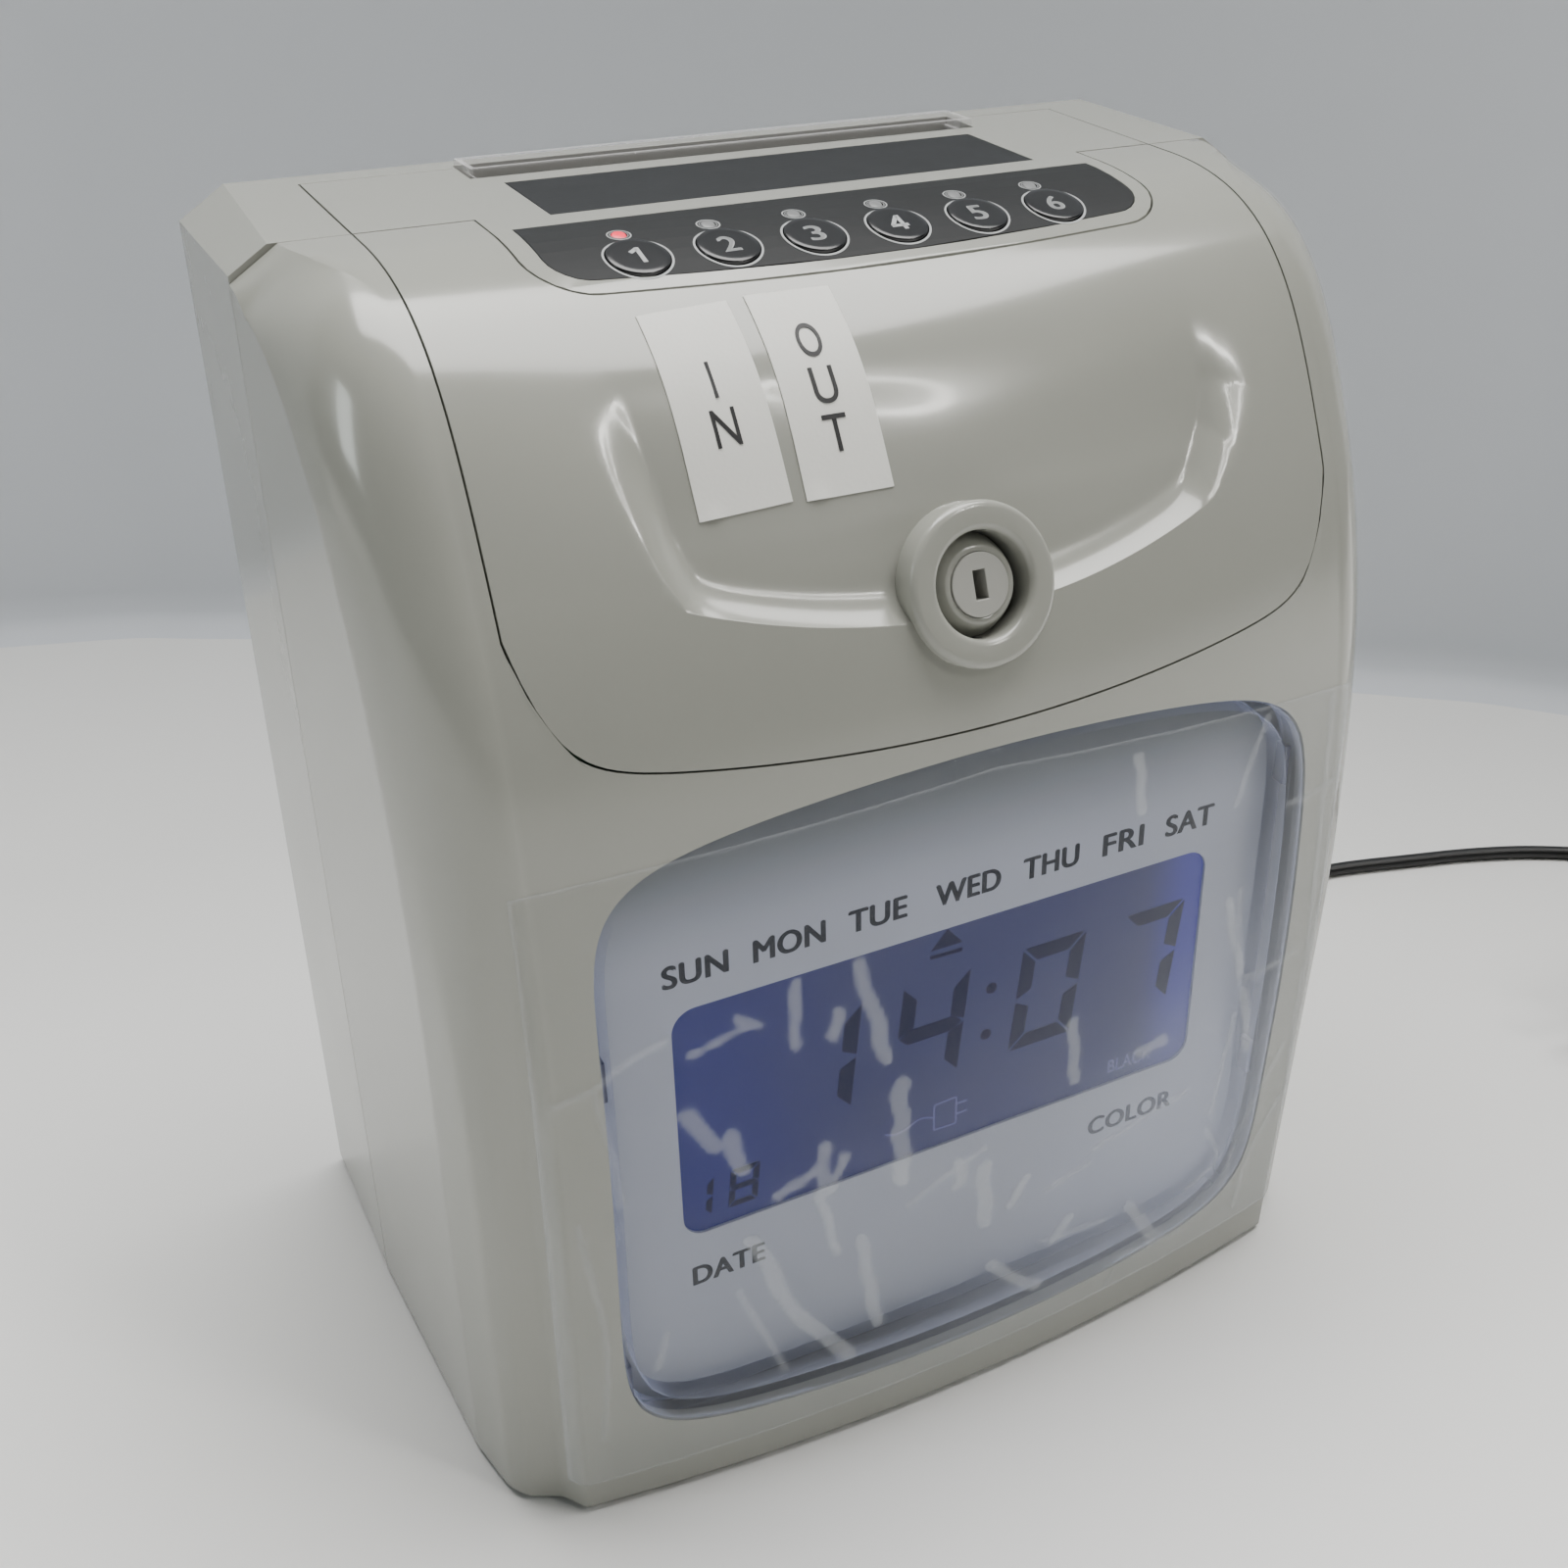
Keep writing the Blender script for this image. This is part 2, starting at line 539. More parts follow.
lead, lead_path = power_lead()
plug = polished("dc_plug", "lead_plug", cord_black, "case", 0.35)
adapter = polished("power_adapter", "adapter", adapter_black, "case", 0.8, 3)
place(*RUN[0])[0]
place(*lead_path.T)


# ---- the case's curved surface ------------------------------------------------------

HALF_W, BODY_H, BODY_D, BOW, LID_HALF, SEAM, WALL, LOW = 86.8, 197.7, 108.5, 5.3, 68.85, 0.3, 2.5, 1.5
FRONT_START, CROWN_D, TOP_LEAN, BROW_LEAN = 35.15, 41.0, 1.6, 63.9
TOP_SLOPE = math.tan(math.radians(TOP_LEAN))
BROW_BACK, BROW_DROP = 22, 37.6
SIDE_SEAM_D, DRAW, TURN_LENGTH, FLAT_REAR, FLAT_FRONT, FULL_DROP = 35, 0.05, 25, 79.4, 71.2, 20.6
SHOULDER = np.array([[0, 4.8], [0.6, 5.7], [1, 7.2], [1.25, 12.6], [1.5, 15], [2, 16.4], [2.5, 19],
                     [2.8, 21.2], [4, 20.6]])
BAND = np.array([[0, 0], [0.08, 0.3], [0.3, 4.2], [0.7, 6.9], [0.88, 10.2], [1, 20.6], [1.2, 37.9]])


def cubic(p, q, r, s, t):
    """The curve from p to s that sets out towards q and arrives from r."""
    return (1 - t) ** 3 * p + 3 * t * (1 - t) ** 2 * q + 3 * t * t * (1 - t) * r + t ** 3 * s


def downhill(angle):
    """A unit step forward and down, at an angle below level."""
    return np.array([math.cos(math.radians(angle)), -math.sin(math.radians(angle))])


def side_profile(count=2000):
    """The case's section beside the lid: a nearly flat top, two cubics and a vertical front."""
    t = np.linspace(0, 1, count)[:, None]
    crown = np.array([CROWN_D, BODY_H - CROWN_D * TOP_SLOPE])
    brow, chest = np.array([BODY_D - BROW_BACK, BODY_H - BROW_DROP]), np.array([BODY_D - BOW, 53.0])
    parts = [np.array([0, BODY_H]) + t * (crown - [0, BODY_H]),
             cubic(crown, crown + 26.6 * downhill(TOP_LEAN), brow - 25.6 * downhill(BROW_LEAN), brow, t),
             cubic(brow, brow + 40 * downhill(BROW_LEAN), chest + [0, 5.2], chest, t),
             chest + t * [0, LOW - chest[1]]]
    line = np.vstack([p[:-1] for p in parts] + [parts[-1][-1:]])
    run = np.gradient(line, axis=0)
    run /= np.linalg.norm(run, axis=1)[:, None]
    length = np.concatenate([[0], np.cumsum(np.linalg.norm(np.diff(line, axis=0), axis=1))])
    share = np.arange(len(line)) / (count - 1)
    return share, line[:, 0], line[:, 1], -run[:, 1], run[:, 0], length


SHARE, LINE_D, LINE_Z, NORMAL_D, NORMAL_Z, LENGTH = side_profile()


def at(s):
    """Depth, height, normal and share of the profile at distances s along it."""
    return [np.interp(s, LENGTH, column) for column in (LINE_D, LINE_Z, NORMAL_D, NORMAL_Z, SHARE)]


def s_of_z(z):
    """Distance along the profile at which it comes down to a height."""
    return np.interp(-np.asarray(z), -LINE_Z, LENGTH)


def s_of_d(d):
    """Distance along the profile at which it reaches a depth, before its vertical part."""
    front = np.searchsorted(LINE_D, BODY_D - BOW - 1e-6)
    return np.interp(d, LINE_D[:front], LENGTH[:front])


def bow_at(x, z):
    """How far the front stands forward at a width: a parabola that fades out near the top."""
    return BOW * (1 - (x / LID_HALF) ** 2) * smooth((BODY_H - 5 - z) / 30)


def side_x(d, inset=0.0):
    """Half width of the case at a depth: it draws in evenly past the side seam."""
    return HALF_W - inset - DRAW * (d - SIDE_SEAM_D)


def centre(x, s, inset=0.0):
    """The front between the shoulders: the profile moved forward by the bow, then inwards."""
    d, z, nd, nz, _ = at(s)
    return np.stack(np.broadcast_arrays(x, d - nd * inset + bow_at(x, z), z - nz * inset), -1)


def softened(x, table, width):
    """Linear interpolation, averaged over a short stretch so that its corners are round."""
    return np.mean([np.interp(np.abs(x + o), *table.T) for o in np.linspace(-width, width, 9)], axis=0)


def flat_half(d):
    """Half width of the flat part at a depth: from its rear value to its front one."""
    forward = smooth((d - SIDE_SEAM_D) / TURN_LENGTH)
    return FLAT_REAR * (1 - forward) + FLAT_FRONT * forward


def shoulder(s, v, inset=0.0, side=1):
    """The round side of the front: v runs from its flat edge (0) to the case's side (1). Each
    point is the profile's, dropped along the normal; low down the drop follows the band's steps."""
    d, z, nd, nz, share = at(s)
    forward = smooth((d - SIDE_SEAM_D) / TURN_LENGTH)
    flat = flat_half(d) - inset / 2
    k = np.where(d < CROWN_D, (d - FRONT_START) / (CROWN_D - FRONT_START), share)
    drop_all = softened(k, SHOULDER, 0.08)
    round_drop = drop_all * (1 - np.sqrt(1 - (0.95 * v) ** 2)) / (1 - math.sqrt(1 - 0.95 ** 2))
    soft_drop = drop_all * v * (1 - forward) + round_drop * forward
    band = softened(v, BAND, 0.035) - softened(np.zeros(1), BAND, 0.035) * (1 - v)
    low_share = smooth((135 - z) / 65)
    drop = soft_drop * (1 - low_share) + band * drop_all / FULL_DROP * low_share
    qd, qz = d - nd * (inset + drop), z - nz * (inset + drop)
    x = flat + (side_x(qd, inset) - flat) * v
    return np.stack(np.broadcast_arrays(side * x, qd + bow_at(flat, z) * (1 - v), qz), -1)


# ---- front cover --------------------------------------------------------------------

WINDOW_HALF, WINDOW_TOP, WINDOW_LOW, WINDOW_POWER = 64.2, 129.8, 12.8, 9
WINDOW_MID, WINDOW_TALL = (WINDOW_TOP + WINDOW_LOW) / 2, WINDOW_TOP - WINDOW_LOW
CORNER_SHARE = 0.5 ** (1 / WINDOW_POWER)
LID_LOW, LID_BEND, LID_TURN = 133.5, 760, 17
UPPER_BEND, LOWER_BEND = 540, 1400


def lid_edge(x, grow=0.0):
    """Height of the lid's lower edge: a shallow bow that turns up at both ends."""
    return LID_LOW - grow + x * x / LID_BEND + LID_TURN * (x / (LID_HALF + grow)) ** 18


def window_side(share, side, grow=0.0):
    """Points of one side of the window's outline. It is |x/a|^9 + |y/b|^9 = 1, with its upper
    and lower edges bowed; share runs along the side from corner to corner."""
    a, b = WINDOW_HALF + grow, WINDOW_TALL / 2 + grow
    along = CORNER_SHARE * (2 * share - 1)
    across = (1 - np.abs(along) ** WINDOW_POWER) ** (1 / WINDOW_POWER)
    x, y = {"left": (-a * across, along), "top": (a * along, across),
            "right": (a * across, -along), "low": (-a * along, -across)}[side]
    sag = np.where(y > 0, y * x * x / UPPER_BEND, y * x * x / LOWER_BEND)
    return np.column_stack([x, WINDOW_MID + b * y - sag])


SIDES = ("left", "top", "right", "low")


def window_loop(grow, count=(60, 60, 60, 60)):
    """The whole outline as one closed loop of points, clockwise from the lower left corner."""
    return np.vstack([window_side(np.linspace(0, 1, n, endpoint=False), side, grow) for side,
                      n in zip(SIDES, count)])


def even(line, count):
    """As many points at even distances along a line, and the share of each."""
    run = np.concatenate([[0], np.cumsum(np.linalg.norm(np.diff(line, axis=0), axis=1))])
    share = np.linspace(0, 1, count)
    return np.column_stack([np.interp(share * run[-1], run, c) for c in line.T])


SHOULDER_COLUMNS = np.array([0, .03, .06, .1, .14, .18, .22, .26, .3, .34, .4, .46, .52, .58, .64, .7, .75,
                             .79, .83,
                             .86, .885, .91, .93, .95, .97, .985, 1])
WALL_COLUMNS = np.array([0, .02, .05, .1, .2, .4, .6, .8, .9, .96, 1])
ROW_STEP, LOOP_POINTS = 1.6, 91
FRONT_TOP_S = s_of_d(FRONT_START)
CORNER_S = s_of_z(lid_edge(LID_HALF + SEAM, SEAM))


def front_rows():
    """Distances down the profile, about 1.6 mm apart, with one at the lid's lower corner."""
    upper = np.linspace(FRONT_TOP_S, CORNER_S, round((CORNER_S - FRONT_TOP_S) / ROW_STEP))
    lower = np.linspace(CORNER_S, LENGTH[-1], round((LENGTH[-1] - CORNER_S) / ROW_STEP))
    return upper, lower


def side_strip(side, inset):
    """From the lid's side round the shoulder and back along the case's side to the seam."""
    upper, lower = front_rows()
    rows = np.concatenate([upper, lower[1:]])[:, None]
    x0 = LID_HALF + SEAM
    share = np.linspace(0, 1, 4)[None, :-1]
    flat = centre(x0 + (flat_half(at(rows)[0]) - x0 - inset / 2) * share, rows, inset) * [side, 1, 1]
    turn = shoulder(rows, SHOULDER_COLUMNS[None], inset, side)
    edge = turn[:, -1:]
    depth = edge[..., 1] + (FRONT_START - edge[..., 1]) * WALL_COLUMNS[None, 1:]
    wall = np.stack([side * side_x(depth, inset), depth, edge[..., 2] + 0 * depth], -1)
    return np.concatenate([flat, turn, wall], axis=1)


def cover_loops():
    """Outer and inner loops of the sheet round the window, as points (x, way down the profile)."""
    lower = front_rows()[1]
    x0 = LID_HALF + SEAM
    xs = np.linspace(-x0, x0, 800)
    top = even(np.column_stack([xs, lid_edge(xs, SEAM)]), LOOP_POINTS)
    top[:, 1] = s_of_z(top[:, 1])
    top[[0, -1], 1] = CORNER_S
    base = np.column_stack([np.linspace(x0, -x0, LOOP_POINTS), np.full(LOOP_POINTS, LENGTH[-1])])
    left = np.column_stack([np.full(len(lower), -x0), lower[::-1]])
    right = np.column_stack([np.full(len(lower), x0), lower])
    outer, inner = [], []
    for line, side in zip((left, top, right, base), SIDES):
        run = np.concatenate([[0], np.cumsum(np.linalg.norm(np.diff(line, axis=0), axis=1))])
        outer.append(line[:-1])
        inner.append(window_side(run[:-1] / run[-1], side, SEAM / 2))
    outer, inner = np.vstack(outer), np.vstack(inner)
    inner[:, 1] = s_of_z(inner[:, 1])
    return np.vstack([outer, outer[:1]]), np.vstack([inner, inner[:1]])


def front_cover():
    """One sheet from the lid, sides and base to the window's outline, and a strip on each side."""
    outer_loop, inner_loop = cover_loops()
    flat = between(outer_loop, inner_loop, [0, .16, .32, .48, .64, .8, .92, 1])
    sheets = [centre(flat[..., 0], flat[..., 1], inset) for inset in (0.0, WALL)]
    patches = [(sheets[0], sheets[1], None)]
    for side in (-1, 1):
        patches.append((side_strip(side, 0.0)[:, ::side], side_strip(side, WALL)[:, ::side], None))
    points, faces = shell(patches)
    return piece("front_cover_skin", points, faces, case_grey, "case", ("front_cover",), "case_grey", 0.32)


front_cover()


# ---- lid ----------------------------------------------------------------------------

TONGUE_X, TONGUE_HALF, TONGUE_TIP, TONGUE_R, TIP_R = 1.6, 52.5 + SEAM, 63.4 + SEAM, 9 + SEAM, 700
LID_REAR, LEDGE_LOW, LEDGE_BEND, LEDGE_DEPTH = 35.05, 149.6, 270, 3.0
COLLAR_MOUTH, COLLAR_R, COLLAR_IN, COLLAR_OUT, COLLAR_EDGE, COLLAR_CUT = 7.75, 12.0, -7, 2.0, 1.1, 11.3
BEAD_R, BEAD_D, BEAD_DROP = 1.95, 37, 2.05
LOCK_Z, LOCK_LEAN = 153.2, math.radians(67.5)
LOCK_D = BODY_D - BROW_BACK + BOW + (BODY_H - BROW_DROP - LOCK_Z) * 0.408


def tab_tip(half, tip, r, tip_r):
    """Depth at which the straight sides of a tab end and its round corners start."""
    return tip - (half - r) ** 2 / (2 * tip_r) - r


def tab_front(u, half, tip, r, tip_r):
    """Depth of a tab's front edge at a distance u from its middle line."""
    u = np.abs(u)
    start = tab_tip(half, tip, r, tip_r)
    corner = start + np.sqrt(np.maximum(0, r * r - np.maximum(0, u - (half - r)) ** 2))
    return np.where(u > half - r, corner, tip - u * u / (2 * tip_r))


def ledge_line():
    """Outline of the recess in the lid, as points (x, z), open at the top."""
    x = np.linspace(-44, 44, 61)
    arc = np.column_stack([x, LEDGE_LOW + x * x / LEDGE_BEND])
    left = np.array([[-57, 260], [-57, BODY_H], [-51, BODY_H - 25.7], [-48, BODY_H - 34.7]])
    right = np.array([[52, BODY_H - 36.2], [58, BODY_H - 27.7], [57, BODY_H], [57, 260]])
    return np.vstack([left, arc, right])


def inside_by(x, z, line):
    """Distance of each point (x, z) from a line, positive on the inside of the closed outline."""
    p = np.stack([x.ravel(), z.ravel()], -1)[:, None]
    a, b = line[:-1][None], line[1:][None]
    along = np.clip(((p - a) * (b - a)).sum(-1) / ((b - a) ** 2).sum(-1), 0, 1)
    away = np.sqrt(((p - a - along[..., None] * (b - a)) ** 2).sum(-1)).min(1)
    closed = np.vstack([line, line[:1]])
    a, b = closed[:-1][None], closed[1:][None]
    spans = (a[..., 1] > p[..., 1]) != (b[..., 1] > p[..., 1])
    with np.errstate(divide="ignore", invalid="ignore"):
        cross = a[..., 0] + (p[..., 1] - a[..., 1]) * (b[..., 0] - a[..., 0]) / (b[..., 1] - a[..., 1])
    inside = (spans & (p[..., 0] < cross)).sum(1) % 2 == 1
    return np.where(inside, away, -away).reshape(x.shape)


def ledge_dip(x, z):
    """Depth of the recess: full past a short round slope, fading out towards the top and the left."""
    gap = inside_by(x, z, ledge_line())
    width = 5.5 + 7.5 * smooth((np.abs(x) - 40) / 12)
    rise = np.clip(gap / width, 0, 1)
    soft = smooth((np.abs(x) - 36) / 14)
    slope = (1 - (1 - rise) ** 2) * (1 - soft) + smooth(rise) * soft
    share = smooth((BODY_H - 12.7 - z) / 20) * smooth((z - LEDGE_LOW + 13.6) / 8)
    return LEDGE_DEPTH * share * slope


def lid_columns():
    """Widths across the lid, finer at the round corners of the tongue, the recess's sides and the edges."""
    arc = TONGUE_HALF - TONGUE_R + TONGUE_R * np.cos(np.radians(np.arange(0, 91, 7.5)))
    plain = np.concatenate([np.arange(-67.5, -61, 1.3), np.arange(-60.5, -44, 0.75),
                            np.arange(-44, 44, 1.3),
                            np.arange(44.5, 61, 0.75), np.arange(61.3, 68, 1.3),
                            [-LID_HALF, -68.2, 68.2, LID_HALF]])
    arc = np.concatenate([TONGUE_X + arc, TONGUE_X - arc])
    near = np.abs(plain[:, None] - arc[None]).min(1)
    return np.unique(np.round(np.concatenate([plain[near > 0.3], arc]), 4))


def eased(count):
    """Shares from 0 to 1 that start with short steps."""
    f = np.linspace(0, 1, count)
    return f * (0.12 + 0.88 * f)


def lid_sheet(x, s, inset):
    """The front's surface at (x, s), lowered by the recess and by an inset."""
    z = at(s)[1]
    return centre(x, s, inset + ledge_dip(x + 0 * z, z + 0 * x))


def lock_frame(points):
    """Points (across, up, out) round the lock's axis in the case frame."""
    c, s = math.cos(LOCK_LEAN), math.sin(LOCK_LEAN)
    across, up, out = points.T
    return np.column_stack([across, LOCK_D - up * c + out * s, LOCK_Z + up * s + out * c])


def rounded_ring(inner, outer, low, high, r):
    """Section of a ring, as (radius, height), with both upper edges round."""
    a = np.linspace(0, np.pi / 2, 7)
    out = np.column_stack([outer - r + r * np.cos(a), high - r + r * np.sin(a)])
    back = np.column_stack([inner + r - r * np.sin(a), high - r + r * np.cos(a)])
    return np.vstack([[[inner, low], [outer, low]], out, back])


def lid_cover():
    """The lid: rows from the tongue's edge to the recess and on to the lower edge, without the
    faces inside the lock's collar; two ears beside the tongue; the collar; two hinge beads."""
    x = lid_columns()
    tip = tab_front(np.minimum(np.abs(x - TONGUE_X), TONGUE_HALF), TONGUE_HALF, TONGUE_TIP, TONGUE_R, TIP_R)
    side_d = tab_tip(TONGUE_HALF, TONGUE_TIP, TONGUE_R, TIP_R)
    beside = np.abs(x - TONGUE_X) >= TONGUE_HALF - 1e-3
    s_top = s_of_d(np.where(beside, side_d, tip))
    s_line = s_of_z(LEDGE_LOW + x * x / LEDGE_BEND)
    s_low = s_of_z(lid_edge(x))
    upper = s_line + (s_top - s_line) * eased(64)[::-1][:, None]
    lower = s_line + (s_low - s_line) * eased(24)[1:, None]
    rows = np.vstack([upper, lower])
    outer, inner = [lid_sheet(x[None], rows, inset) for inset in (0.0, WALL)]
    corners = lock_frame(np.array([[0, 0, 0], [0, 0, 1]]))
    axis = corners[1] - corners[0]
    off = outer - corners[0]
    radius = np.linalg.norm(off - (off @ axis)[..., None] * axis, axis=-1)
    near = radius < COLLAR_CUT
    keep = ~(near[:-1, :-1] & near[1:, :-1] & near[:-1, 1:] & near[1:, 1:])
    patches = [(outer, inner, keep)]
    back = s_of_d(LID_REAR) + (s_of_d(side_d) - s_of_d(LID_REAR)) * np.linspace(0, 1, 14)[:, None]
    for ear in (x <= TONGUE_X - TONGUE_HALF + 1e-3, x >= TONGUE_X + TONGUE_HALF - 1e-3):
        patches.append((lid_sheet(x[None, ear], back, 0.0), lid_sheet(x[None, ear], back, WALL), None))
    collar, rings = lathe(rounded_ring(COLLAR_MOUTH, COLLAR_R, COLLAR_IN, COLLAR_OUT, COLLAR_EDGE), 96,
                          True)
    beads = []
    bead_z = BODY_H - BEAD_D * TOP_SLOPE - BEAD_DROP
    ears = ((-LID_HALF + 0.1, TONGUE_X - TONGUE_HALF - 0.8), (TONGUE_X + TONGUE_HALF + 0.8, LID_HALF - 0.1))
    for x0, x1 in ears:
        beads.append(tube(np.array([[x0, BEAD_D, bead_z], [x1, BEAD_D, bead_z]]), BEAD_R, 24))
    points, faces = joined(shell(patches), (lock_frame(collar), rings), *beads)
    return piece("lid_skin", points, faces, case_grey, "lid", ("lid_cover",), "case_grey", 0.3)


lid_cover()


def lock():
    """The fixed cone round the core, and the core with its keyway."""
    ring = np.array([[4.75, -20], [7.65, -20], [7.65, -3.4], [7.55, -3.1], [5.75, 0.05], [5.5, 0.18],
                     [4.95, 0.2], [4.75, 0.1]])
    points, faces = lathe(ring, 96, True)
    piece("lock_ring", lock_frame(points), faces, case_grey, "lid", ("lock_housing",), "lock_grey")
    polished("lock_core", "lock_barrel", core_grey, "lock", 0.15)


lock()


# ---- lettering and flat marks -------------------------------------------------------

def lettering(text, wide, tall, weight=0.0, spacing=1.0):
    """Letters as solids one unit thick, fitted to a width and height, centred on their base line."""
    curve = bpy.data.curves.new("letters", "FONT")
    curve.body, curve.size, curve.extrude = text, 1.0, 0.5
    curve.offset, curve.space_character = weight, spacing
    thing = bpy.data.objects.new("letters", curve)
    bpy.context.scene.collection.objects.link(thing)
    mesh = bpy.data.meshes.new_from_object(thing.evaluated_get(bpy.context.evaluated_depsgraph_get()))
    points = np.empty(len(mesh.vertices) * 3)
    mesh.vertices.foreach_get("co", points)
    points = points.reshape(-1, 3)
    low, high = points.min(0), points.max(0)
    stretch = [wide / (high[0] - low[0]), tall / (high[1] - low[1]), 1]
    points = (points - [(low[0] + high[0]) / 2, low[1], -0.5]) * stretch
    faces = [np.array([list(p.vertices) for p in mesh.polygons if len(p.vertices) == n]) for n in (3, 4)]
    bpy.data.objects.remove(thing)
    bpy.data.curves.remove(curve)
    bpy.data.meshes.remove(mesh)
    return points, [f for f in faces if len(f)]


def moved(part, across, up):
    """A part moved in its own plane."""
    return part[0] + [across, up, 0], part[1]


def bold(part, shift):
    """Heavier letters: three copies, moved to both sides and a little up and down."""
    return joined(*[moved(part, a * shift, b * shift) for a, b in ((-1, -0.3), (1, -0.3), (0, 0.4))])


def stroke(points, wide):
    """A flat line of even width through points (x, z)."""
    points = np.asarray(points, float)
    run = np.gradient(points, axis=0)
    run /= np.linalg.norm(run, axis=1)[:, None]
    side = np.column_stack([-run[:, 1], run[:, 0]]) * wide / 2
    return prism(np.vstack([points + side, (points - side)[::-1]]), 0, 1)


def annulus(inner, outer, count=64):
    """A flat ring one unit thick, as points (across, up, level)."""
    return lathe([[inner, 0], [outer, 0], [outer, 1], [inner, 1]], count, True)


def disc(radius, count=32):
    """A flat disc one unit thick."""
    return lathe([[0, 0], [radius, 0], [radius, 1], [0, 1]], count)


# ---- top of the case ----------------------------------------------------------------

KEY_D, LIGHT_D, KEY_LEAN = 55.835, 48.98, math.radians(16.74)
KEY_COUNT, KEY_PITCH, KEY_MIDDLE = 6, 13.98, 0.5
KEY_X = [KEY_MIDDLE + (i - 2.5) * KEY_PITCH for i in range(KEY_COUNT)]


def on_top(x, d, up):
    """Points of the nearly flat top at depths d: the side profile carried along x, lifted by up."""
    line_d, line_z, nd, nz, _ = at(s_of_d(d))
    return np.stack(np.broadcast_arrays(x, line_d + nd * up, line_z + nz * up), -1).reshape(-1, 3)


def key_frame(points, x, d):
    """Points (across, up the slope, out) of a plane that leans as the keys do, in the case frame."""
    across, up, out = points.T
    spot_d, spot_z = at(s_of_d(d))[:2]
    c, s = math.cos(KEY_LEAN), math.sin(KEY_LEAN)
    return np.column_stack([across + x, spot_d - up * c + out * s, spot_z + up * s + out * c])


def printed_on_top(part, x, d, low, thick):
    """A flat mark laid on the curved top: its own up direction runs back along the surface."""
    points, faces = part
    return on_top(points[:, 0] + x, d - points[:, 1] * math.cos(KEY_LEAN),
                  low + thick * points[:, 2]), faces


polished("rear_cover", "rear_cover_skin", case_grey, "case", 0.5, 3)
polished("top_plate", "top_plate_skin", case_grey, "case", 0.3)
polished("card_guide", "card_guide_skin", guide_clear, "case", 0.35, 3)
polished("dark_strip", "dark_strip_skin", strip_black, "case", 0.12)
polished("key_panel", "key_panel_skin", panel_black, "case", 0.15)

KEY_SECTION = [[0, -3.8], [1.4, -3.8], [1.4, -3.2], [5.2, -3.2], [5.2, -2.4], [4.6, -2.4], [4.6, 0.05],
               [4.54, 0.17], [4.4, 0.25], [3.6, 0.29], [2.4, 0.3], [0, 0.3]]
NUMBER_WIDE, NUMBER_TALL, NUMBER_STROKE = (0, 2.5, 2.4, 0, 2.4, 2.4), 3.9, 0.68


def key_number(i):
    """Number i + 1, lower edge at zero: 1 and 4 are drawn as lines, the rest is lettering."""
    if i == 0:
        lines = [[(0.4, 0), (0.4, NUMBER_TALL)], [(0.3, 3.55), (-0.9, 2.75)]]
    elif i == 3:
        lines = [[(0.55, 0), (0.55, NUMBER_TALL)], [(0.45, 3.7), (-1.25, 1.2)],
                 [(-1.45, 1.15), (1.4, 1.15)]]
    else:
        return bold(lettering(str(i + 1), NUMBER_WIDE[i], NUMBER_TALL), 0.12)
    return joined(*[stroke(line, NUMBER_STROKE) for line in lines])


marks, rims = [], []
for i, x in enumerate(KEY_X):
    cap, rings = lathe(KEY_SECTION, 64)
    piece(f"key_cap_{i + 1}", key_frame(cap, x, KEY_D), rings, key_black, f"button_{i + 1}",
          (f"key_{i + 1}",), "key_black")
    number, sides = moved(key_number(i), 0, -NUMBER_TALL / 2)
    number = number * [1, 1, 0.05] + [0, 0, 0.275]
    piece(f"key_number_{i + 1}", key_frame(number, x, KEY_D), sides, print_grey, f"button_{i + 1}",
          slot="key_black")
    marks.append(printed_on_top(annulus(4.8, 5.12, 72), x, KEY_D, -0.02, 0.06))
    marks.append(printed_on_top(annulus(1.62, 1.82, 48), x, LIGHT_D, -0.02, 0.05))
    rims.append(printed_on_top(annulus(1.22, 1.42, 48), x, LIGHT_D, -0.02, 0.04))
piece("key_rings", *joined(*marks), print_grey, "case", slot="panel_black")
piece("light_rings", *joined(*rims), light_off, "case", slot="panel_black")


FIRST_LIGHT_END = -0.030


def status_lights():
    """Six light rods with round tops; the first is lit."""
    rod = [[0, -7], [1.1, -7], [1.1, -0.12], [1.0, 0.02], [0.7, 0.09], [0, 0.1]]
    parts = []
    for x in KEY_X:
        points, faces = lathe(rod, 32)
        parts.append((key_frame(points, x, LIGHT_D), faces))
    lights = piece("lights", *joined(*parts), light_off, "case", ("status_lights",), "light_pipe")
    lights.data.materials.append(light_on)
    middles = np.empty(len(lights.data.polygons) * 3)
    lights.data.polygons.foreach_get("center", middles)
    lights.data.polygons.foreach_set("material_index", (middles[::3] < FIRST_LIGHT_END).astype(int))


status_lights()


# ---- stickers on the lid ------------------------------------------------------------

STICKERS = {"in": ("IN", [(-39.5, 189.4), (-25.8, 189.7), (-24.7, 167.9), (-38.6, 167.2)]),
            "out": ("OUT", [(-23.0, 189.9), (-9.7, 189.8), (-9.0, 167.6), (-22.6, 167.6)])}
LABEL_TALL = 22.0


def label_place(corners, a, b, lift):
    """Bilinear place on the lid between four corners (x, way down the profile), lifted from it."""
    x, s = [(1 - b) * ((1 - a) * corners[0, k] + a * corners[1, k])
            + b * ((1 - a) * corners[3, k] + a * corners[2, k]) for k in (0, 1)]
    return lid_sheet(x, s, -lift)


